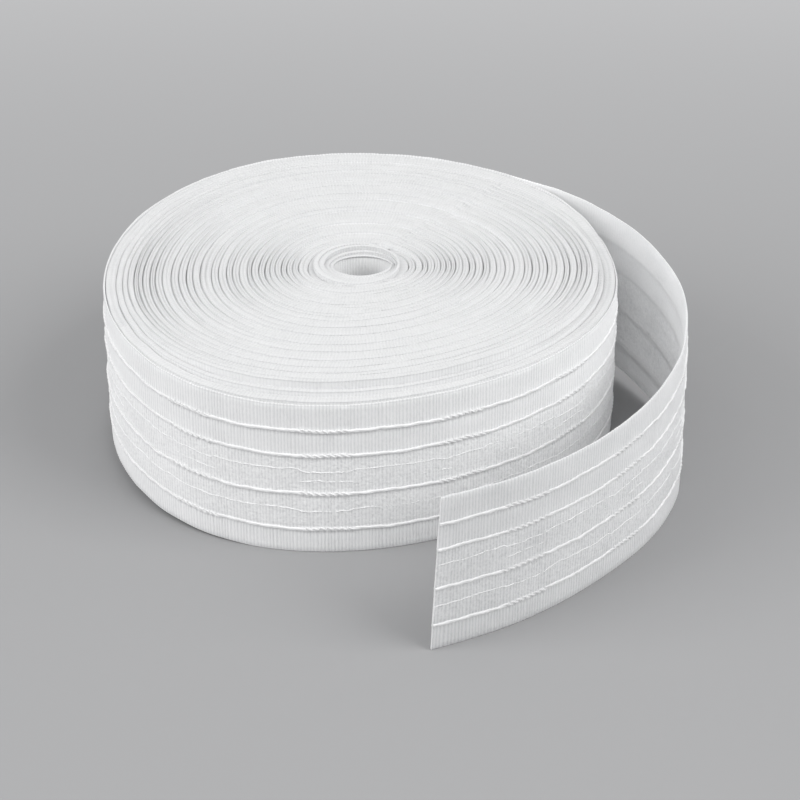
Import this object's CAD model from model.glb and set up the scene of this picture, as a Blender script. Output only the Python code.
import math

import bpy
import numpy as np
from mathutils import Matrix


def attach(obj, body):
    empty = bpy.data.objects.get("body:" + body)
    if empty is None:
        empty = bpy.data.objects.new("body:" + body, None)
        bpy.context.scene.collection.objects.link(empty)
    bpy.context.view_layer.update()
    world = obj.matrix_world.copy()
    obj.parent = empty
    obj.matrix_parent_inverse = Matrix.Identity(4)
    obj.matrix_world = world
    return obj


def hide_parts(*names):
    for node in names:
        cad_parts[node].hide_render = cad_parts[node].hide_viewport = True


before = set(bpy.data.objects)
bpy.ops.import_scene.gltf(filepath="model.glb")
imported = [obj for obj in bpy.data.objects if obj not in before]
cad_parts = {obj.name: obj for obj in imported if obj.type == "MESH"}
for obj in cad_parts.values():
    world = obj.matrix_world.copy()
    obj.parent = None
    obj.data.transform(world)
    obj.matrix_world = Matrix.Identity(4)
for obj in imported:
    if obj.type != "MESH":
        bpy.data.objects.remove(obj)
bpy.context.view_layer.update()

# Lengths here are in millimetres about the roll's axis, as in the CAD source, and put() turns them
# into metres in the frame. u runs along the tape from its cut end, v up across it from the lower selvedge.
WIDTH = 75.0
THICK = 0.9
CORDS = [0.160, 0.405, 0.662, 0.828]
LEAVES_AT = 50.0
R0 = 115.1
BACK_LIFT = 8.6
CORE_TOP = 82.0
ORIGIN = np.array([16.935, -35.81])
RIB = 1.5          # pitch of the weft ribs
REPEAT = 61.8      # the cords go under the weft once in this length
WOVEN = 22.5       # for this much of it
FIRST = 43.0       # middle of the first such stretch, from the cut
TAPER = 14.0       # the outermost turn's far end thins over this length onto the turn that carries on


def put(xyz):
    xyz = np.asarray(xyz, float)
    out = np.empty(xyz.shape)
    out[..., 0] = (xyz[..., 0] - ORIGIN[0]) / 1000
    out[..., 1] = (xyz[..., 1] - ORIGIN[1]) / 1000
    out[..., 2] = xyz[..., 2] / 1000
    return out


def smooth(x, a, b):
    t = np.clip((np.asarray(x, float) - a) / (b - a), 0, 1)
    return t * t * (3 - 2 * t)


def waves(x, seed, lengths, sizes):
    """A slow uneven wave: sines of these lengths, with seeded phases."""
    r = np.random.RandomState(seed)
    out = 0.0
    for l, s in zip(lengths, sizes):
        out = out + s * np.sin(2 * math.pi * x / (l * (0.9 + 0.2 * r.rand())) + 6.283 * r.rand())
    return out


def grain(x, seed, step):
    """Random values every step along x, joined smoothly."""
    r = np.random.RandomState(seed)
    table = r.rand(4096) * 2 - 1
    k = np.asarray(x, float) / step
    i = np.floor(k).astype(int)
    f = k - i
    f = f * f * (3 - 2 * f)
    return table[i % 4096] * (1 - f) + table[(i + 1) % 4096] * f


def pchip(x, xs, ys):
    """Monotone curve through the points."""
    xs, ys = np.asarray(xs, float), np.asarray(ys, float)
    h, d = np.diff(xs), np.diff(ys) / np.diff(xs)
    m = np.zeros(len(xs))
    m[0], m[-1] = d[0], d[-1]
    for i in range(1, len(xs) - 1):
        if d[i - 1] * d[i] > 0:
            w1, w2 = 2 * h[i] + h[i - 1], h[i] + 2 * h[i - 1]
            m[i] = (w1 + w2) / (w1 / d[i - 1] + w2 / d[i])
    x = np.asarray(x, float)
    i = np.clip(np.searchsorted(xs, x) - 1, 0, len(xs) - 2)
    t = (x - xs[i]) / h[i]
    inside = (t >= 0) & (t <= 1)
    cubic = (
        (1 + 2 * t) * (1 - t) ** 2 * ys[i]
        + t * (1 - t) ** 2 * h[i] * m[i]
        + t * t * (3 - 2 * t) * ys[i + 1]
        + t * t * (t - 1) * h[i] * m[i + 1]
    )
    line = np.where(t < 0, ys[0] + (x - xs[0]) * m[0], ys[-1] + (x - xs[-1]) * m[-1])
    return np.where(inside, cubic, line)


LIFT = [
    (0, 0.0), (8, 0.6), (17, 2.6), (27, 6.0), (36, 8.2), (50, 8.6), (120, 8.5), (150, 8.0), (170, 7.3),
    (190, 6.3), (205, 5.0), (215, 3.7), (226, 1.9), (238, 0.6), (250, 0.0), (360, 0.0),
]


def lift_at(deg):
    d = np.asarray(deg, float) % 360
    rows = np.array(LIFT, float)
    i = np.clip(np.searchsorted(rows[:, 0], d, side="left") - 1, 0, len(rows) - 2)
    t = np.clip((d - rows[i, 0]) / (rows[i + 1, 0] - rows[i, 0]), 0, 1)
    return rows[i, 1] + (rows[i + 1, 1] - rows[i, 1]) * t * t * (3 - 2 * t)


def outline(deg):
    a = np.radians(deg)
    return R0 + 2.0 * np.cos(2 * a) + 2.5 * np.sin(2 * a) + 2.5 * np.cos(3 * a) - 0.4 * np.sin(3 * a)


# ---------------------------------------------------------------- camera
cam = bpy.data.objects.new("camera", bpy.data.cameras.new("camera"))
bpy.context.scene.collection.objects.link(cam)
cam.data.sensor_width = 36.0
cam.data.lens = 119.7
cam.data.clip_start, cam.data.clip_end = 0.05, 30.0
cam.location = (0.002665, -1.04469, 0.6586)
cam.rotation_euler = (math.radians(59.0), 0.0, 0.0)
bpy.context.scene.camera = cam


# ---------------------------------------------------------------- meshes
def mesh_object(name, verts, quads, uv, material, flat_from=None):
    """A mesh of quads (a quad whose last two corners are alike is a triangle), with one UV for each vertex."""
    mesh = bpy.data.meshes.new(name)
    quads = np.asarray(quads, np.int32)
    tri = quads[:, 2] == quads[:, 3]
    total = np.where(tri, 3, 4).astype(np.int32)
    keep = np.ones(quads.shape, bool)
    keep[tri, 3] = False
    loops = quads[keep]
    start = np.concatenate([[0], np.cumsum(total)[:-1]]).astype(np.int32)
    mesh.vertices.add(len(verts))
    mesh.vertices.foreach_set("co", put(verts).astype(np.float32).ravel())
    mesh.loops.add(len(loops))
    mesh.loops.foreach_set("vertex_index", loops.astype(np.int32))
    mesh.polygons.add(len(quads))
    mesh.polygons.foreach_set("loop_start", start)
    mesh.polygons.foreach_set("loop_total", total)
    soft = np.ones(len(quads), bool)
    if flat_from is not None:
        soft[flat_from:] = False
    mesh.polygons.foreach_set("use_smooth", soft)
    layer = mesh.uv_layers.new(name="tape")
    layer.data.foreach_set("uv", (np.asarray(uv, float)[loops] / 10).astype(np.float32).ravel())
    mesh.update(calc_edges=True)
    mesh.validate()
    obj = bpy.data.objects.new(name, mesh)
    bpy.context.scene.collection.objects.link(obj)
    obj.data.materials.append(material)
    return obj


def skin(rings, uv, end_faces=None, first=0):
    """Quads of a tube of rings: rings is (M, K, 3) and uv (M, K, 2). The ends are closed with fans of strips,
    or with end_faces, triangles of places in the ring."""
    M, K = rings.shape[:2]
    i, k = np.meshgrid(np.arange(M - 1), np.arange(K), indexing="ij")
    l = (k + 1) % K
    q = np.stack([i * K + k, i * K + l, (i + 1) * K + l, (i + 1) * K + k], -1).reshape(-1, 4)
    caps = []
    for base, turned in ((0, False), ((M - 1) * K, True)):
        if end_faces is not None:
            caps += [[base + x, base + y, base + z, base + z] if turned else [base + z, base + y, base + x, base + x] for x, y, z in end_faces]
        else:
            a, b = 0, K - 1
            while b - a > 1:
                if b - a == 2:
                    f = [base + a, base + b, base + a + 1, base + a + 1]
                else:
                    f = [base + a, base + b, base + b - 1, base + a + 1]
                caps.append(f[::-1] if turned and f[2] != f[3] else ([f[0], f[2], f[1], f[1]] if turned else f))
                a, b = a + 1, b - 1
    caps = np.array(caps, np.int64).reshape(-1, 4)
    return rings.reshape(-1, 3), np.concatenate([q, caps]) + first, uv.reshape(-1, 2), len(q)


# ---------------------------------------------------------------- the path of the outermost tape
LOOSE = np.array([
    (82.9, 82.9, 8.6, 0.0), (91.9, 76.9, 8.4, 1.0), (100.8, 69.5, 7.9, 2.0), (109.6, 60.4, 7.6, 3.0),
    (118.0, 50.6, 7.0, 3.6), (126.6, 39.4, 6.0, 4.0), (134.8, 25.6, 4.7, 3.8), (142.6, 7.4, 2.9, 2.6),
    (147.2, -8.6, 1.5, 1.3), (148.8, -22.0, 0.6, 0.4), (148.6, -37.0, 0.1, -0.3), (146.8, -54.0, 0.0, -1.0),
    (144.4, -68.0, 0.0, -1.6), (139.8, -82.0, 0.0, -1.6), (134.0, -95.5, 0.0, -1.2), (126.6, -108.8, 0.0, -0.4),
    (118.0, -121.2, 0.0, 0.8), (108.3, -133.0, 0.0, 1.6), (96.8, -145.2, 0.0, 2.1), (83.6, -157.0, 0.0, 2.2),
    (67.5, -168.6, 0.0, 1.8), (51.0, -177.7, 0.0, 1.2), (34.0, -185.6, 0.0, 0.6),
])


def loose_path():
    """Dense points (x, y, lift, lean) from the roll to the cut: the same curve as the CAD's."""
    r = outline(LEAVES_AT) + 0.9
    c, s = math.cos(math.radians(LEAVES_AT)), math.sin(math.radians(LEAVES_AT))
    rows = np.vstack([[r * c + 0.3 * s, r * s - 0.3 * c, BACK_LIFT, 0.0], LOOSE])
    p = rows[:, :2]
    p = np.vstack([2 * p[0] - p[1], p, 2 * p[-1] - p[-2]])
    out = []
    for k in range(len(rows) - 1):
        a, b, cc, d = p[k:k + 4]
        d0, d1, d2 = (max(np.linalg.norm(y - x), 1e-6) ** 0.5 for x, y in ((a, b), (b, cc), (cc, d)))
        t1 = ((b - a) / d0 - (cc - a) / (d0 + d1) + (cc - b) / d1) * d1
        t2 = ((cc - b) / d1 - (d - b) / (d1 + d2) + (d - cc) / d2) * d1
        n = 24
        t = (np.arange(n) / n)[:, None]
        xy = b * (2 * t**3 - 3 * t**2 + 1) + t1 * (t**3 - 2 * t**2 + t) + cc * (3 * t**2 - 2 * t**3) + t2 * (t**3 - t**2)
        out.append(np.hstack([xy, rows[k, 2:] * (1 - t) + rows[k + 1, 2:] * t]))
    out.append(rows[-1:])
    return np.vstack(out)


def along(points):
    return np.concatenate([[0], np.cumsum(np.linalg.norm(np.diff(points[:, :2], axis=0), axis=1))])


loose = loose_path()
gone = along(loose)
# The CAD keeps 0.3 mm between the loose end and the roll; the cloth itself is in one piece there.
radial = loose[:, :2] / np.linalg.norm(loose[:, :2], axis=1)[:, None]
loose[:, :2] += radial * (0.15 * (1 - smooth(gone, 0, 30)))[:, None]
turn = np.linspace(0, 1, 2400)
deg = LEAVES_AT + 360 * turn
rr = outline(deg) + 1.5 * (1 - turn) - THICK / 2
rim = np.stack([rr * np.cos(np.radians(deg)), rr * np.sin(np.radians(deg)), lift_at(deg), 0 * deg], -1)
whole = np.vstack([loose[::-1][:-1], rim])
U = along(whole)
LOOSE_LENGTH = float(along(loose[::-1])[-2] + np.linalg.norm(loose[1, :2] - rim[0, :2]))
TURN_LENGTH = float(U[-1] - LOOSE_LENGTH)
# Evenly spaced, and eased over the place where the two curves meet.
STEP = RIB / 4
n_loose = int(round(LOOSE_LENGTH / STEP))
fine = np.linspace(0, U[-1], int(U[-1] / 0.25) + 1)
line = np.stack([np.interp(fine, U, whole[:, k]) for k in range(4)], -1)
kernel = np.hanning(33); kernel /= kernel.sum()
padded = np.vstack([np.repeat(line[:1], 16, 0), line, np.repeat(line[-1:], 16, 0)])
eased = np.stack([np.convolve(padded[:, k], kernel, "valid") for k in range(4)], -1)
near = (smooth(fine, 12, 24) * (1 - smooth(fine, U[-1] - 24, U[-1] - 12)))[:, None]
line = line * (1 - near) + eased * near
tangent = np.gradient(line[:, :2], fine, axis=0)
tangent /= np.linalg.norm(tangent, axis=1)[:, None]
outward = np.stack([tangent[:, 1], -tangent[:, 0]], -1)       # away from the roll


def on_tape(u, v, off, slant=True):
    """The point at u along and share v up the outermost tape, off millimetres out of its middle."""
    u, v, off = np.broadcast_arrays(np.asarray(u, float), np.asarray(v, float), np.asarray(off, float))
    at = lambda col: np.interp(u, fine, col)
    lean, lift = at(line[:, 3]), at(line[:, 2])
    n = off + (v - 0.5) * lean
    a = -1.9 * smooth(u, 17.5, 0) * (1 - 2 * v) if slant else 0 * v
    x = at(line[:, 0]) + at(outward[:, 0]) * n + at(tangent[:, 0]) * a
    y = at(line[:, 1]) + at(outward[:, 1]) * n + at(tangent[:, 1]) * a
    return np.stack([x, y, lift + np.sqrt(WIDTH**2 - lean**2) * v], -1)


def woven(u, shift=0.0):
    """1 where the cords run under the weft, 0 where they float."""
    x = (np.asarray(u, float) - FIRST - shift + REPEAT / 2) % REPEAT - REPEAT / 2
    return 1 - smooth(np.abs(x), WOVEN / 2 - 1.6, WOVEN / 2 + 1.2)


def rib_u(u):
    """u with the ribs' small unevenness, so that ribs lie at whole multiples of RIB."""
    return u + 0.16 * np.sin(2 * math.pi * u / 9.7) + 0.10 * np.sin(2 * math.pi * u / 4.3 + 1.0) + 0.12 * np.sin(2 * math.pi * u / 31.0 + 2.0)


CORD_SHIFT = [1.2, -0.6, 0.5, -0.9]


def cord_v(u, c):
    """Share up the tape of cord c, with its slight wander."""
    return CORDS[c] + (waves(u, 40 + c, (47, 19, 8.5), (0.20, 0.12, 0.07)) + 0.10 * (1 - woven(u, CORD_SHIFT[c]))) / WIDTH


def relief(u, v, inner=False):
    """How far the face stands out at u, v, in millimetres."""
    mm = v * WIDTH
    low, high = 1 - smooth(mm, 10.0, 12.2), smooth(mm, 63.0, 65.0)
    nets = smooth(mm, 13, 15) * (1 - smooth(mm, 47, 49))
    size = 0.102 + 0.080 * low + 0.025 * high - 0.015 * nets
    size = size * (0.75 + 0.25 * waves(u, 5, (83, 37), (0.6, 0.4)) + 0.30 * grain(u, 6, 4.7))
    d = size * np.cos(2 * math.pi * rib_u(u) / RIB) * (0.35 if inner else 1.0)
    for c in range(4):
        off = mm - cord_v(u, c) * WIDTH
        w = woven(u, CORD_SHIFT[c])
        bead = 0.5 + 0.5 * np.cos(2 * math.pi * u / 3.0 + c)
        d = d + w * np.exp(-(off / 0.95) ** 2) * (0.36 + 0.16 * bead)
        # Outside, a floating cord lies in a slight hollow; inside, its channel shows as a ridge.
        d = d + (1 - w) * np.exp(-(off / 0.8) ** 2) * (0.42 if inner else -0.10)
        if not inner:
            # A shallow groove under the cord, pitted between the wefts that hold it.
            pits = 0.5 - 0.5 * np.cos(2 * math.pi * u / 3.0 + c)
            d = d - np.exp(-((off + 1.6) / 0.6) ** 2) * (0.09 + w * (0.06 + 0.30 * pits))
        # The drawn cord pulls the cloth beside it into small puckers.
        d = d + 0.10 * np.exp(-(np.abs(off) / 3.0)) * grain(u, 60 + c, 2.3) * (0.6 + 0.4 * (1 - w))
    # Soft puckers in the pocket bands, and a slack belly between the cords.
    pocket = np.exp(-((mm - 40.0) / 7.0) ** 2) + np.exp(-((mm - 21.5) / 6.0) ** 2)
    d = d + pocket * (0.17 * grain(u + 3.0 * np.sin(mm * 0.9), 71, 1.7) + 0.10 * grain(u + 0.6 * mm, 72, 5.3) + 0.10)
    d = d + 0.12 * waves(u, 9, (140, 61, 33), (0.5, 0.3, 0.2)) * np.sin(np.pi * np.clip(v, 0, 1))
    return -0.8 * np.clip(d, -0.16, 0.7) if inner else np.maximum(d, -0.5)


def around(c):
    mm = CORDS[c] * WIDTH
    return [mm - 2.6, mm - 1.5, mm - 0.7, mm, mm + 0.7, mm + 1.5, mm + 2.6]


def rows_out():
    own = [0.35, 3.0, 6.5, 17.0, 19.4, 21.8, 24.4, 35.0, 37.8, 40.6, 43.6, 55.5, 69.5, 72.5, 74.65]
    return np.array(sorted(own + sum((around(c) for c in range(4)), []))) / WIDTH


def tape_mesh(name, u0, u1, rows_in, material, lined=False):
    n = int(round((u1 - u0) / STEP))
    # A second row close to each end keeps the shading level up to the end.
    u = np.linspace(u0, u1, n + 1)
    u = np.concatenate([u[:1], [u0 + 0.02], u[1:-1], [u1 - 0.02], u[-1:]])[:, None]
    vo = rows_out()[None, :]
    vi = np.array(rows_in)[::-1][None, :] / WIDTH
    half = THICK / 2
    ragged = 0.10 * np.cos(2 * math.pi * rib_u(u) / RIB) + 0.10 * grain(u, 81, 1.9)
    drift = waves(u, 82, (90, 41, 17), (0.12, 0.08, 0.06))
    thin = 0.78 * smooth(u, U[-1] - TAPER, U[-1])
    out = on_tape(u, vo, half + relief(u, vo) * (1 - smooth(thin, 0.0, 0.5)))
    inn = on_tape(u, vi, -half + relief(u, vi, inner=True) * (1 - smooth(thin, 0.0, 0.2)) + thin)
    rings, uvs = [out], [np.stack([rib_u(u) + 0 * vo, vo * WIDTH + 0 * u], -1)]
    for part, vs in ((1, (0.55, -0.55)), (0, (-0.55, 0.55))):
        for k in vs:
            top = part == 1
            p = on_tape(u, float(part), half * k + thin * (0.72 if k < 0 else 0.28))
            p[..., 2] += (ragged * 0.6 + drift + 0.05) if top else (0.06 - 0.10 * np.abs(ragged))
            if top:
                rings.append(p), uvs.append(np.stack([rib_u(u), 0 * u + WIDTH], -1))
            else:
                foot = (p, np.stack([rib_u(u), 0 * u], -1))
                rings.append(foot[0]), uvs.append(foot[1])
        if part == 1:
            rings.append(inn), uvs.append(np.stack([rib_u(u) + 0 * vi, vi * WIDTH + 0 * u], -1))
    rings = np.concatenate(rings, 1)
    uvs = np.concatenate(uvs, 1)
    if u0 == 0:
        # The cut is a little uneven: the cloth frays back between the cords.
        r = np.random.RandomState(3)
        nick = np.interp(np.linspace(0, 1, rings.shape[1]), np.linspace(0, 1, 23), r.rand(23)) * 0.5
        for i in range(4):
            rings[i, :, :2] += (nick * max(0.0, 1 - u[i, 0] / (3 * STEP)))[:, None] * tangent[0]
    # The ends are closed between the rows of the outer face and those of the inner one at the same height.
    no, K = vo.shape[1], rings.shape[1]
    outer_side, inner_side = list(range(no)), list(range(K - 1, no - 1, -1))
    high_o, high_i = list(vo[0]), [0.0, 0.0] + list(vi[0][::-1]) + [1.0, 1.0]
    faces, i, j = [], 0, 0
    while i < len(outer_side) - 1 or j < len(inner_side) - 1:
        if j == len(inner_side) - 1 or (i < len(outer_side) - 1 and high_o[i + 1] <= high_i[j + 1]):
            faces.append((outer_side[i], outer_side[i + 1], inner_side[j]))
            i += 1
        else:
            faces.append((outer_side[i], inner_side[j + 1], inner_side[j]))
            j += 1
    verts, quads, uv, body = skin(rings, uvs, end_faces=faces)
    quads = quads[:, ::-1].copy()
    tri = quads[:, 0] == quads[:, 1]
    quads[tri] = np.stack([quads[tri, 1], quads[tri, 2], quads[tri, 3], quads[tri, 3]], -1)
    obj = mesh_object(name, verts, quads, uv, material, flat_from=body)
    if lined:
        # The inner face's place along the tape is counted on from 2000 mm, by which its material knows it.
        layer = obj.data.uv_layers["tape"]
        where = np.zeros(len(layer.data) * 2, np.float32)
        layer.data.foreach_get("uv", where)
        where = where.reshape(-1, 2)
        k = np.arange(body) % rings.shape[1]
        first = vo.shape[1] + 2
        inside = (k >= first) & (k < first + vi.shape[1] - 1)
        where[:4 * body, 0] += np.repeat(inside, 4) * 200.0
        layer.data.foreach_set("uv", where.ravel())
    return obj


def tube(points, radii, sides, name=None, squash=1.0, outdir=None, twist=None):
    """Rings of a tube along points. radii is one number for each point; squash flattens it along outdir."""
    p = np.asarray(points, float)
    t = np.gradient(p, axis=0)
    t /= np.linalg.norm(t, axis=1)[:, None]
    n = outdir - (outdir * t).sum(1)[:, None] * t
    n /= np.linalg.norm(n, axis=1)[:, None]
    b = np.cross(t, n)
    a = np.arange(sides) / sides * 2 * math.pi
    grow = np.ones((len(p), sides)) if twist is None else twist(a)
    return p[:, None] + radii[:, None, None] * grow[:, :, None] * (
        np.cos(a)[None, :, None] * n[:, None] * squash + np.sin(a)[None, :, None] * b[:, None])


class Soup:
    """Several tubes and pads in one mesh."""
    def __init__(self):
        self.v, self.q, self.uv, self.count = [], [], [], 0

    def add(self, rings, uv):
        v, q, w, _ = skin(rings, uv, first=self.count)
        self.v.append(v), self.q.append(q), self.uv.append(w)
        self.count += len(v)

    def make(self, name, material):
        return mesh_object(name, np.concatenate(self.v), np.concatenate(self.q), np.concatenate(self.uv), material)


def cord_points(u, c, face=1):
    w = woven(u, CORD_SHIFT[c])
    v = cord_v(u, c)
    half = THICK / 2 + relief(u, v)
    # Afloat it stands on the face; under the weft it lies in it.
    height = half + (1 - w) * 0.30 - w * 0.24 + (0.09 * grain(u, 90 + c, 7.3) + 0.05 * grain(u, 100 + c, 2.9)) * (1 - w)
    if face < 0:
        height = -THICK / 2 + 0.20 + 0 * u
    return v, height


def outdirs(u):
    return np.stack([np.interp(u, fine, outward[:, 0]), np.interp(u, fine, outward[:, 1]), 0 * u], -1)


def add_cord(soup, c, u0, u1, hidden=None):
    """A draw cord of two strands: close together where it floats, roped where the weft crosses it."""
    u = np.arange(u0, u1, 0.95)
    v, h = cord_points(u, c)
    if hidden is not None:
        h = h - hidden(u)
    w = woven(u, CORD_SHIFT[c])
    full = np.arange(0, U[-1] + 1, 0.5)
    phase = np.interp(u, full, np.cumsum(0.5 * 2 * math.pi / (17.0 - 11.0 * woven(full, CORD_SHIFT[c])))) + c
    spread = 0.13 + 0.42 * w
    for side in (0, math.pi):
        mm = v * WIDTH + spread * np.cos(phase + side)
        hh = h + (0.10 + 0.16 * w) * np.sin(phase + side)
        r = 0.67 - 0.19 * w + 0.08 * grain(u, 95 + c + (5 if side else 0), 2.1)
        rings = tube(on_tape(u, mm / WIDTH, hh), r, 8, squash=0.84, outdir=outdirs(u))
        a = np.arange(8) / 8
        soup.add(rings, np.stack([u[:, None] + 0 * a, 3.0 * a[None, :] + 0 * u[:, None]], -1))
    # Weft loops that hold the cord down where it runs under.
    loops = np.arange(math.ceil(u0 / 3.0), math.floor(u1 / 3.0)) * 3.0 + 1.5 - 3.0 * c / (2 * math.pi)
    r2 = np.random.RandomState(7 + c)
    for s in loops:
        jit = r2.rand(4)
        if s < u0 + 1.5 or s > u1 - 1.5 or woven(s, CORD_SHIFT[c]) < 0.6:
            continue
        if hidden is not None and hidden(s) > 0.3:
            continue
        vv = cord_v(s, c) * WIDTH
        k = np.linspace(-1, 1, 7)
        reach = 1.25 + 0.25 * jit[0]
        lean = 0.5 * (jit[1] - 0.5) + 0.55
        uu = s + lean * k
        mm = vv + reach * k
        hh = THICK / 2 + relief(uu, mm / WIDTH) - 0.20 + 0.34 * np.cos(k * math.pi / 2) ** 0.8
        pts = on_tape(uu, mm / WIDTH, hh)
        rr_ = np.full(7, 0.30 + 0.06 * jit[2]) * np.array([0.55, 0.85, 1, 1, 1, 0.85, 0.55])
        rg = tube(pts, rr_, 6, squash=0.75, outdir=outdirs(uu))
        aa = np.arange(6) / 6
        soup.add(rg, np.stack([uu[:, None] + 0 * aa, mm[:, None] + 0.6 * aa[None, :]], -1))


def add_thread(soup, v_mm, u0, u1, seed, sag, always=0.0, radius=0.25, hidden=None):
    """A fine pocket thread, wandering over the face and dipping out of it in places."""
    u = np.arange(u0, u1, 0.9)
    w = woven(u)
    mm = v_mm + 0.34 * grain(u, seed, 7.5) + 0.26 * grain(u, seed + 1, 2.3) - sag * w + 0.3 * np.sin(2 * math.pi * u / 41.0 + seed)
    show = 0.5 + 0.5 * grain(u, seed + 2, 4.0)
    gate = smooth(grain(u, seed + 4, 13.0) + 0.9 * w + always, -0.35, 0.45)
    h = THICK / 2 + relief(u, mm / WIDTH) + 0.02 - 0.34 * (1 - gate) + 0.14 * show * (0.5 + 0.5 * np.cos(2 * math.pi * u / 3.0))
    if hidden is not None:
        h = h - hidden(u)
    p = on_tape(u, mm / WIDTH, h)
    # Little knots where the thread takes in a weft.
    r = radius * (0.72 + 0.5 * np.abs(grain(u, seed + 3, 1.3)) ** 2 + 0.35 * show)
    rings = tube(p, r, 6, squash=0.9, outdir=outdirs(u))
    a = np.arange(6) / 6
    soup.add(rings, np.stack([u[:, None] + 0 * a, mm[:, None] + 0.5 * a[None, :]], -1))


# ---------------------------------------------------------------- materials
class Nodes:
    def __init__(self, name):
        self.mat = bpy.data.materials.new(name)
        self.mat.use_nodes = True
        self.t = self.mat.node_tree
        self.t.nodes.clear()

    def new(self, kind, **values):
        n = self.t.nodes.new(kind)
        for k, v in values.items():
            setattr(n, k, v)
        return n

    def link(self, a, b):
        self.t.links.new(a, b)

    def math(self, op, a, b=None, c=None, clamp=False):
        n = self.new("ShaderNodeMath", operation=op, use_clamp=clamp)
        for i, x in enumerate((a, b, c)):
            if x is None:
                continue
            if isinstance(x, (int, float)):
                n.inputs[i].default_value = x
            else:
                self.link(x, n.inputs[i])
        return n.outputs[0]

    def uv(self):
        m = self.new("ShaderNodeUVMap", uv_map="tape")
        s = self.new("ShaderNodeSeparateXYZ")
        self.link(m.outputs[0], s.inputs[0])
        return self.math("MULTIPLY", s.outputs[0], 10.0), self.math("MULTIPLY", s.outputs[1], 10.0)

    def place(self, x, y, sx, sy):
        c = self.new("ShaderNodeCombineXYZ")
        self.link(self.math("MULTIPLY", x, sx), c.inputs[0])
        self.link(self.math("MULTIPLY", y, sy), c.inputs[1])
        return c.outputs[0]

    def noise(self, vector, scale=1.0, detail=2.0, rough=0.5):
        n = self.new("ShaderNodeTexNoise")
        n.inputs["Scale"].default_value = scale
        n.inputs["Detail"].default_value = detail
        n.inputs["Roughness"].default_value = rough
        self.link(vector, n.inputs["Vector"])
        return n.outputs[0]

    def ramp(self, fac, stops):
        n = self.new("ShaderNodeValToRGB")
        e = n.color_ramp.elements
        while len(e) < len(stops):
            e.new(0.5)
        for el, (pos, col) in zip(e, stops):
            el.position = pos
            el.color = (*col, 1.0)
        self.link(fac, n.inputs[0])
        return n.outputs[0]


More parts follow.
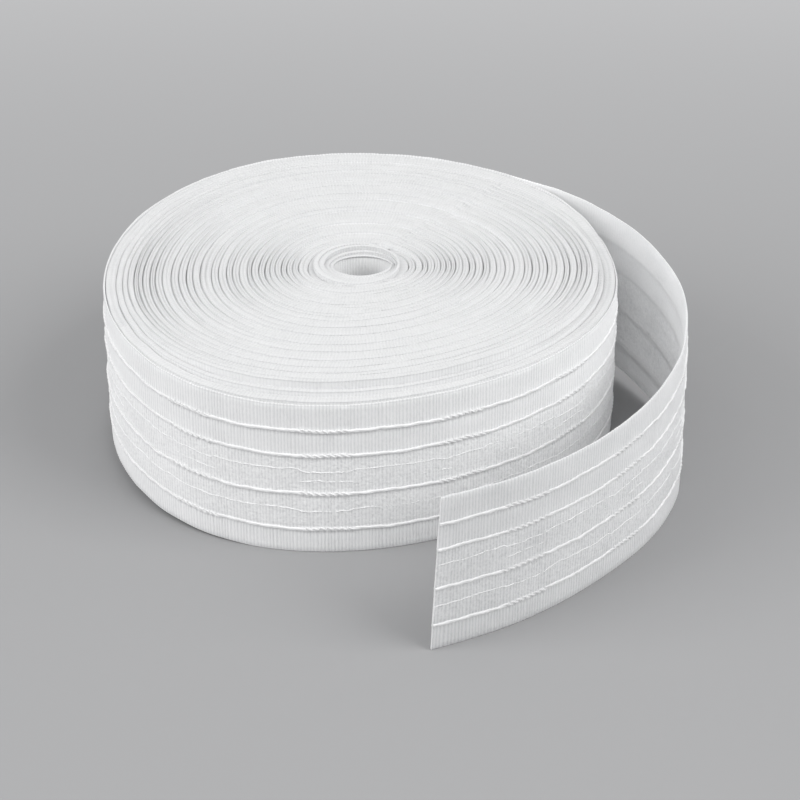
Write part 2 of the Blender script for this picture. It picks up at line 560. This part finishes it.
def cloth(name, ribs=True, bright=1.0, through=0.22, edge=False, rim=0.0, free_until=None):
    """White woven tape: weft ribs, selvedges, pocket bands and yarn grain, all by place along and across it.
    Light comes through it only where it stands free, up to free_until along it."""
    m = Nodes(name)
    u, v = m.uv()
    rib = m.math("MULTIPLY_ADD", m.math("COSINE", m.math("MULTIPLY", u, 2 * math.pi / RIB)), 0.5, 0.5)
    if free_until is not None:
        # On the inner face the ribs hardly show.
        inside = m.math("GREATER_THAN", u, 1500.0)
        u = m.math("SUBTRACT", u, m.math("MULTIPLY", inside, 2000.0))
        rib = m.math("ADD", m.math("MULTIPLY", rib, m.math("MULTIPLY_ADD", inside, -0.8, 1.0)), m.math("MULTIPLY", inside, 0.45))
    yarn = m.noise(m.place(u, v, 1.9, 0.55), 1.0, 3.0, 0.6)       # streaks along the weft
    fine_ = m.noise(m.place(u, v, 3.2, 3.2), 1.0, 2.0, 0.6)        # fluff
    cloud = m.noise(m.place(u, v, 0.05, 0.09), 1.0, 2.0, 0.5)      # slow shade of the bleach
    # Warp yarns: fine lines along the tape.
    warp = m.math("MULTIPLY_ADD", m.math("COSINE", m.math("MULTIPLY", v, 2 * math.pi / 0.62)), 0.5, 0.5)
    # The two pocket bands are netted: thinner, with little knots.
    band = m.math("MULTIPLY", m.math("SMOOTH_MIN", m.math("SUBTRACT", v, 13.5), 1.0, 0.5, clamp=True),
                  m.math("SMOOTH_MIN", m.math("SUBTRACT", 48.5, v), 1.0, 0.5, clamp=True))
    knots = m.new("ShaderNodeTexVoronoi", feature="F1")
    knots.inputs["Scale"].default_value = 1.0
    knots.inputs["Randomness"].default_value = 0.85
    m.link(m.place(u, v, 0.62, 0.85), knots.inputs["Vector"])
    knot = m.math("SUBTRACT", 1.0, knots.outputs["Distance"], clamp=True)
    nub = m.noise(m.place(u, v, 0.85, 0.62), 1.0, 3.0, 0.62)       # lumps of the looser yarn
    # Shade: 0 dark groove, 1 bright yarn.
    shade = m.math("MULTIPLY_ADD", rib, 0.56 if ribs else 0.24, 0.19 if ribs else 0.35)
    shade = m.math("ADD", shade, m.math("MULTIPLY_ADD", yarn, 0.60, -0.30))
    shade = m.math("ADD", shade, m.math("MULTIPLY_ADD", fine_, 0.50 if edge else 0.30, -0.25 if edge else -0.15))
    shade = m.math("ADD", shade, m.math("MULTIPLY_ADD", warp, 0.06, -0.03))
    shade = m.math("ADD", shade, m.math("MULTIPLY_ADD", cloud, 0.5, -0.20))
    shade = m.math("ADD", shade, m.math("MULTIPLY", m.math("MULTIPLY_ADD", nub, 1.1, -0.55), m.math("MULTIPLY_ADD", band, 0.75, 0.25)))
    shade = m.math("ADD", shade, m.math("MULTIPLY", m.math("MULTIPLY_ADD", knot, 0.5, -0.18), band))
    shade = m.math("MAXIMUM", m.math("MINIMUM", shade, 1.0), 0.0)
    b = bright
    colour = m.ramp(shade, [(0.0, (0.74 * b, 0.745 * b, 0.75 * b)), (0.45, (0.88 * b, 0.883 * b, 0.886 * b)), (1.0, (0.97 * b, 0.971 * b, 0.972 * b))])
    if rim:
        # The very edge, where the weft turns back, is a little darker.
        at_edge = m.math("MULTIPLY", m.math("SUBTRACT", v, 73.9), 1.3, clamp=True)
        darker = m.new("ShaderNodeVectorMath", operation="SCALE")
        m.link(colour, darker.inputs[0])
        m.link(m.math("MULTIPLY_ADD", at_edge, -rim, 1.0), darker.inputs["Scale"])
        colour = darker.outputs[0]
    height = m.math("MULTIPLY_ADD", yarn, 0.5, 0.0)
    height = m.math("ADD", height, m.math("MULTIPLY", fine_, 0.35))
    height = m.math("ADD", height, m.math("MULTIPLY", warp, 0.12))
    height = m.math("ADD", height, m.math("MULTIPLY", nub, m.math("MULTIPLY_ADD", band, 0.9, 0.3)))
    height = m.math("ADD", height, m.math("MULTIPLY", m.math("MULTIPLY", knot, 0.5), band))
    if edge:
        height = m.math("ADD", height, m.math("MULTIPLY", rib, 0.6))
    bump = m.new("ShaderNodeBump")
    bump.inputs["Strength"].default_value = 0.75
    bump.inputs["Distance"].default_value = 0.00030
    m.link(height, bump.inputs["Height"])
    rough = m.math("MULTIPLY_ADD", yarn, 0.16, 0.66)
    p = m.new("ShaderNodeBsdfPrincipled")
    m.link(colour, p.inputs["Base Color"])
    m.link(rough, p.inputs["Roughness"])
    m.link(bump.outputs[0], p.inputs["Normal"])
    p.inputs["Specular IOR Level"].default_value = 0.30
    p.inputs["Sheen Weight"].default_value = 0.12
    p.inputs["Sheen Roughness"].default_value = 0.5
    t = m.new("ShaderNodeBsdfTranslucent")
    m.link(colour, t.inputs["Color"])
    m.link(bump.outputs[0], t.inputs["Normal"])
    mix = m.new("ShaderNodeMixShader")
    if free_until is None:
        mix.inputs[0].default_value = through
    else:
        free = m.math("MULTIPLY", m.math("SUBTRACT", free_until, u), 1 / 75.0, clamp=True)
        m.link(m.math("MULTIPLY_ADD", free, through - 0.03, 0.03), mix.inputs[0])
    m.link(p.outputs[0], mix.inputs[1])
    m.link(t.outputs[0], mix.inputs[2])
    out = m.new("ShaderNodeOutputMaterial")
    m.link(mix.outputs[0], out.inputs[0])
    return m.mat


def thread_material(name, bright, pitch):
    """Twisted white yarn."""
    m = Nodes(name)
    u, v = m.uv()
    ply = m.math("SINE", m.math("MULTIPLY", m.math("ADD", u, m.math("MULTIPLY", v, pitch)), 2 * math.pi / (pitch * 1.0)))
    ply = m.math("MULTIPLY_ADD", ply, 0.5, 0.5)
    fluff = m.noise(m.place(u, v, 2.4, 5.0), 1.0, 3.0, 0.6)
    shade = m.math("ADD", m.math("MULTIPLY", ply, 0.45), m.math("MULTIPLY", fluff, 0.6), clamp=True)
    b = bright
    colour = m.ramp(shade, [(0.0, (0.84 * b, 0.843 * b, 0.846 * b)), (0.6, (0.94 * b, 0.941 * b, 0.942 * b)), (1.0, (0.98 * b, 0.98 * b, 0.98 * b))])
    bump = m.new("ShaderNodeBump")
    bump.inputs["Strength"].default_value = 0.6
    bump.inputs["Distance"].default_value = 0.00018
    m.link(m.math("ADD", ply, m.math("MULTIPLY", fluff, 0.5)), bump.inputs["Height"])
    p = m.new("ShaderNodeBsdfPrincipled")
    m.link(colour, p.inputs["Base Color"])
    m.link(m.math("MULTIPLY_ADD", fluff, 0.2, 0.45), p.inputs["Roughness"])
    m.link(bump.outputs[0], p.inputs["Normal"])
    p.inputs["Sheen Weight"].default_value = 0.15
    out = m.new("ShaderNodeOutputMaterial")
    m.link(p.outputs[0], out.inputs[0])
    return m.mat


TAPE = cloth("tape_weave", through=0.03, rim=0.15)
LOOSE_TAPE = cloth("tape_weave_loose", bright=1.01, through=0.50, free_until=LOOSE_LENGTH - 12)
EDGES = cloth("tape_edges", ribs=False, bright=0.97, through=0.06, edge=True, rim=0.195)
COLLAR = cloth("tape_edges_inner", ribs=False, bright=0.99, through=0.20, edge=True, rim=0.07)
CORD = thread_material("draw_cord", 0.94, 3.0)
THREAD = thread_material("pocket_thread", 1.0, 1.2)


# ---------------------------------------------------------------- wound turns
# Middle radius of the gap inside the turn at s turns from where the tape leaves the roll,
# read off the photograph at the left (s = k + 0.361) and the right (k + 0.861).
GAP_LEFT = [113.8, 110.1, 107.2, 104.9, 102.2, 100.1, 98.2, 94.9, 92.6, 89.3, 85.5, 81.8, 78.4, 75.6, 72.3, 67.1,
            63.8, 60.1, 57.6, 54.4, 50.6, 48.7, 45.4, 42.6, 40.3, 37.9, 35.1, 32.7, 29.8, 27.2, 22.8]
GAP_RIGHT = [111.6, 109.0, 106.5, 103.9, 101.4, 99.2, 97.3, 94.0, 91.5, 88.0, 84.2, 80.6, 77.3, 74.0, 69.5, 65.4,
             61.6, 58.6, 55.9, 52.3, 49.6, 46.6, 43.7, 41.5, 39.2, 36.8, 34.2, 31.2, 28.9, 25.8, 22.7]
gap_s = [0.0] + sorted([k + 0.361 for k in range(31)] + [k + 0.861 for k in range(31)])
gap_m = [115.4] + [x for pair in zip(GAP_LEFT, GAP_RIGHT) for x in pair]


def gap_at(s):
    return pchip(s, gap_s, gap_m)


def out_of_round(m, deg):
    """Radius in that direction of the turn whose mean radius is m."""
    flat = 1.25 * smooth(m, 62, 24)
    return m * outline(deg) / R0 + flat * (np.cos(2 * np.radians(deg)) - 1)


def turn_top(s, deg):
    front = np.array([75.0, 76.3, 78.4, CORE_TOP])
    back = np.array([83.6, 83.4, 82.9, CORE_TOP])
    k = np.clip(np.floor(s).astype(int), 0, 3)
    f = np.floor(s)
    t = smooth(s - f, 0.0, 0.35)
    a = front[np.clip(k - 1, 0, 3)] * (1 - t) + front[k] * t
    b = back[np.clip(k - 1, 0, 3)] * (1 - t) + back[k] * t
    return a + (b - a) * lift_at(deg) / BACK_LIFT


def wound(name, s0, s1, step, material, centre=None, rib=False):
    """The tape wound from s0 to s1 turns, as one closed ribbon standing on its edge."""
    s = [s0]
    while s[-1] < s1:
        s.append(s[-1] + step / (2 * math.pi * float(gap_at(s[-1]))))
    s = np.array(s[:-1] + [s1])
    deg = LEAVES_AT + 360 * s
    c, sn = np.cos(np.radians(deg)), np.sin(np.radians(deg))
    out_m, in_m = gap_at(s - 1), gap_at(s)
    u = U[-1] + np.concatenate([[0], np.cumsum(np.diff(s) * 2 * math.pi * 0.5 * (in_m[1:] + in_m[:-1]))])
    # At the sides of the roll the turns stand a little apart, in front and at the back they close up.
    side = c * c
    slack = 0.06 + 0.15 * side + (0.02 + 0.09 * side) * grain(s * 5.3, 21, 1.0)
    # The outermost of them lie close, and their gaps hardly show.
    apart = smooth(s, 3.0, 6.0)
    slack = slack * (0.35 + 0.65 * apart)
    pitch = out_m - in_m
    outer = out_of_round(out_m, deg) - slack
    if s0 < 3:
        # The second turn lies against the outermost one, and starts under its thinned end.
        against = outline(deg) + 1.5 * (2 - s) - THICK - 0.25
        under = outline(deg) - 0.14 - 0.82 * (1 - smooth(s, 1 - TAPER / TURN_LENGTH, 1.0))
        against = under + (against - under) * smooth(s, 1.0, 1.05)
        outer = np.where(s < 2, against, outer * smooth(s, 2.0, 2.2) + (outline(deg) - 1.15 - 2.6 * (s - 2)) * (1 - smooth(s, 2.0, 2.2)))
    thick = np.clip(outer - out_of_round(in_m, deg) - slack, 0.8, 5.6)
    top = turn_top(s, deg) + 0.16 * grain(u, 22, 9.0) + 0.05 * grain(u, 23, 3.2) + 0.48 * waves(s, 24, (3.7, 1.9, 0.83), (0.5, 0.4, 0.4)) * smooth(s, 3.2, 4.5) * (1 - smooth(s, 29.6, 30.6))
    top = np.minimum(top, 83.4) - 1.7 * smooth(s, 30.86, 31.0)
    own = smooth(s, 3.0, 3.35)
    foot = (1 - own) * np.maximum(turn_top(s, deg) - WIDTH, 0) + 0.05
    # Shape of the section: (share of thickness outwards, drop below the top).
    dent = 0.16 + 0.12 * grain(u, 25, 17.0) + 0.30 * smooth(thick, 3.0, 4.2) + apart * side * (0.34 + 0.22 * grain(u, 28, 29.0))
    # The selvedges' corners are rounder where the turns stand apart, and the gap is shallow.
    k = 0.35 + 0.65 * side
    deep = 0.45 + (1.15 + 0.45 * grain(u, 27, 23.0)) * side * (0.3 + 0.7 * apart)
    close = 1.0 + 2.2 * slack / thick
    shape = [(close, 14.0), (close, deep + 0.35), (1.0, deep), (1.0, 0.55 * deep), (0.91, 0.40 * k), (0.74, 0.03), (0.60, 0.07), (0.5, None),
             (0.40, 0.09), (0.26, 0.06), (0.09, 0.42 * k), (0.0, 1.15 * k), (0.0, 4.5), (0.0, 14.0)]
    cols, uv = [], []
    wander = 0.12 * grain(u, 26, 14.0)
    for share, drop in shape:
        r = outer - thick * (1 - share) + wander
        z = top - (dent if drop is None else drop)
        cols.append(np.stack([r * c, r * sn, z], -1))
        uv.append(np.stack([u, WIDTH - (top - z) * 1.0], -1))
    for share, rise in ((0.0, 1.0), (0.2, 0.05), (0.8, 0.05), (1.0, 1.0)):
        r = outer - thick * (1 - share)
        z = foot + rise
        cols.append(np.stack([r * c, r * sn, z], -1))
        uv.append(np.stack([u, rise + 0 * u], -1))
    rings = np.stack(cols, 1)
    uvs = np.stack(uv, 1)
    verts, quads, uvv, body = skin(rings, uvs)
    obj = mesh_object(name, verts, quads, uvv, material, flat_from=body)
    return obj, float(u[-1] - u[0])


def collar(name, material):
    """The innermost turns: close together, higher in front, stepping down into the hole at the back."""
    turns = 4.88
    s = np.linspace(0, turns, int(turns * 110))
    deg = 8.0 + 360 * (s - turns)                # ends at the right, so that the last half turn lies in front
    s = s - 1.0
    c, sn = np.cos(np.radians(deg)), np.sin(np.radians(deg))
    out = np.stack([c, sn], -1)

    def boundary(s):
        """Where the face between two turns runs."""
        r = 20.9 - 1.84 * s
        off = smooth(r, 20.4, 14.6)
        return np.stack([1.9 * off, 0.6 * off], -1) + r[:, None] * out

    # Outer and inner faces. The first turn lies between the collar and the wound turns, pushed down.
    outer, inner = boundary(s), boundary(s + 1) - 0.02 * out
    first = smooth(s, 0.07, 0.0)[:, None]
    at = 30 + ((deg - LEAVES_AT) % 360) / 360
    room = np.maximum(out_of_round(gap_at(at), deg) - 0.15, 21.2 - 1.84 * (s + 1))
    outer = outer * (1 - first) + room[:, None] * out * first
    # The end is pressed flat against the turn before it.
    inner = inner + (outer - inner) * (0.85 * smooth(s, 3.66, 3.88))[:, None]
    down = smooth(s, 0.6, 3.1)
    slope = 1.8 + 1.8 * sn
    slope = slope * (1 - 0.8 * smooth(s, 3.40, 3.55))
    wide = smooth(np.linalg.norm(outer - inner, axis=1), 0.7, 2.4)
    top = 82.95 - down * slope - 0.22 * down + 0.06 * grain(s * 20 + 40, 31, 1.0) - (0.95 + 1.15 * wide) * first[:, 0]
    # Only the innermost turn has a hollow under its lip.
    under = 0.30 * smooth(s, 2.7, 2.9)[:, None]
    shape = [(1.0, 12.0), (1.0, 3.0), (1.0, 0.18), (0.94, 0.05), (0.6, 0.0), (0.35, 0.0), (0.06, 0.04), (0.0, 0.16), (0.0, 0.52),
             (under, 0.62), (under, 1.15), (0.02, 1.5), (0.02, 14.0)]
    cols, uv = [], []
    u = np.concatenate([[0], np.cumsum(np.linalg.norm(np.diff(0.5 * (outer + inner), axis=0), axis=1))]) + 300
    for share, drop in shape:
        xy = outer * share + inner * (1 - share)
        cols.append(np.concatenate([xy, (top - drop)[:, None]], -1))
        uv.append(np.stack([u, WIDTH - drop + 0 * u], -1))
    for share, rise in ((0.02, 1.0), (0.3, 0.3), (0.8, 0.3), (1.0, 1.0)):
        xy = outer * share + inner * (1 - share)
        cols.append(np.concatenate([xy, rise + 0 * top[:, None]], -1))
        uv.append(np.stack([u, rise + 0 * u], -1))
    rings, uvs = np.stack(cols, 1), np.stack(uv, 1)
    verts, quads, uvv, body = skin(rings, uvs)
    return mesh_object(name, verts, quads, uvv, material, flat_from=body), float(u[-1] - u[0])


def covered(u):
    """The cloth of the roll lies flat under the start of the loose end."""
    return 0.9 * smooth(u, U[-1] - 52, U[-1] - 14)


# Pocket threads: height on the tape, seed, sag under the weft, how much of it shows.
THREADS = [(42.6, 110, 1.0, 0.85), (36.3, 120, -0.2, -0.60), (22.3, 130, 0.8, 0.85)]

# The outermost turn and the loose end are one tape, cut at the place where it leaves the roll.
outermost = tape_mesh("outermost_turn", LOOSE_LENGTH, float(U[-1]), [1.0, 20.0, 54.0, 74.2], TAPE)
inner_rows = [0.35, 4.0, 8.5, 11.0, 12.0, 13.0, 16.0, 22.0, 26.5, 29.4, 30.4, 31.4, 35.0, 41.0, 46.5, 48.7, 49.7, 50.7, 55.0, 60.0, 61.2, 62.1, 63.1, 66.0, 70.0, 74.6]
loose_tape = tape_mesh("loose_tape", 0.0, LOOSE_LENGTH, inner_rows, LOOSE_TAPE, lined=True)

soup = Soup()
for c in range(4):
    add_cord(soup, c, LOOSE_LENGTH, float(U[-1]) - 8, hidden=covered)
roll_cords = soup.make("draw_cords_roll", CORD)
soup = Soup()
for c in range(4):
    add_cord(soup, c, 0.25, LOOSE_LENGTH)
loose_cords = soup.make("draw_cords_loose", CORD)
soup = Soup()
for mm, seed, sag, always in THREADS:
    add_thread(soup, mm, LOOSE_LENGTH, float(U[-1]) - 8, seed, sag, always, radius=0.20, hidden=covered)
roll_threads = soup.make("pocket_threads_roll", THREAD)
soup = Soup()
for mm, seed, sag, always in THREADS:
    add_thread(soup, mm, 0.3, LOOSE_LENGTH, seed, sag, always, radius=0.20)
loose_threads = soup.make("pocket_threads_loose", THREAD)

outer_turns, outer_length = wound("outer_turns", 1.0 - TAPER / TURN_LENGTH, 3.0, 1.6, EDGES)
wound_turns, wound_length = wound("wound_turns", 3.0, 31.0, 3.0, EDGES)
collar_turns, collar_length = collar("collar_turns", COLLAR)

# ---------------------------------------------------------------- floor and light
bpy.ops.mesh.primitive_plane_add(size=14.0, location=(0, 0, 0))
floor = bpy.context.object
floor.name = "floor"
m = Nodes("paper")
g = m.new("ShaderNodeTexCoord")
n = m.noise(g.outputs["Object"], 0.9, 2.0, 0.5)
# Paler far behind.
sep = m.new("ShaderNodeSeparateXYZ")
m.link(g.outputs["Object"], sep.inputs[0])
far = m.math("POWER", m.math("MAXIMUM", sep.outputs[1], 0.0), 2.0)
n = m.math("ADD", m.math("MULTIPLY", n, 0.16), m.math("MULTIPLY_ADD", far, 2.7, 0.128), clamp=True)
col = m.ramp(n, [(0.0, (0.298, 0.298, 0.302)), (1.0, (0.452, 0.452, 0.456))])
p = m.new("ShaderNodeBsdfPrincipled")
m.link(col, p.inputs["Base Color"])
p.inputs["Roughness"].default_value = 0.85
p.inputs["Specular IOR Level"].default_value = 0.2
o = m.new("ShaderNodeOutputMaterial")
m.link(p.outputs[0], o.inputs[0])
floor.data.materials.append(m.mat)


def lamp(name, where, target, size, power, tint=(1, 1, 1)):
    d = bpy.data.lights.new(name, "AREA")
    d.shape = "RECTANGLE"
    d.size, d.size_y = size
    d.energy = power
    d.color = tint
    o = bpy.data.objects.new(name, d)
    bpy.context.scene.collection.objects.link(o)
    o.location = where
    v = np.array(target, float) - np.array(where, float)
    from mathutils import Vector
    o.rotation_euler = Vector(v).to_track_quat("-Z", "Y").to_euler()
    return o


lamp("high", (-0.9, -0.6, 2.1), (0.0, 0.0, 0.04), (1.1, 1.1), 5)
lamp("rear", (1.6, 0.75, 1.6), (0.06, 0.0, 0.04), (1.1, 1.1), 3)
lamp("left", (-1.95, -0.75, 1.35), (0.0, 0.0, 0.04), (1.6, 1.6), 29)
lamp("right", (1.6, -0.75, 1.75), (0.0, 0.0, 0.04), (1.6, 1.6), 33)

world = bpy.data.worlds.new("studio")
world.use_nodes = True
world.node_tree.nodes["Background"].inputs[0].default_value = (0.985, 0.99, 1.0, 1.0)
world.node_tree.nodes["Background"].inputs[1].default_value = 0.62
bpy.context.scene.world = world
bpy.context.scene.view_settings.view_transform = "Standard"

# ---------------------------------------------------------------- what each piece is
for piece in (outermost, outer_turns, wound_turns, collar_turns, roll_cords, roll_threads):
    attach(piece, "root")
    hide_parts("wound_roll")
for piece in (loose_tape, loose_cords, loose_threads):
    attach(piece, "root")
    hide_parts("loose_end")
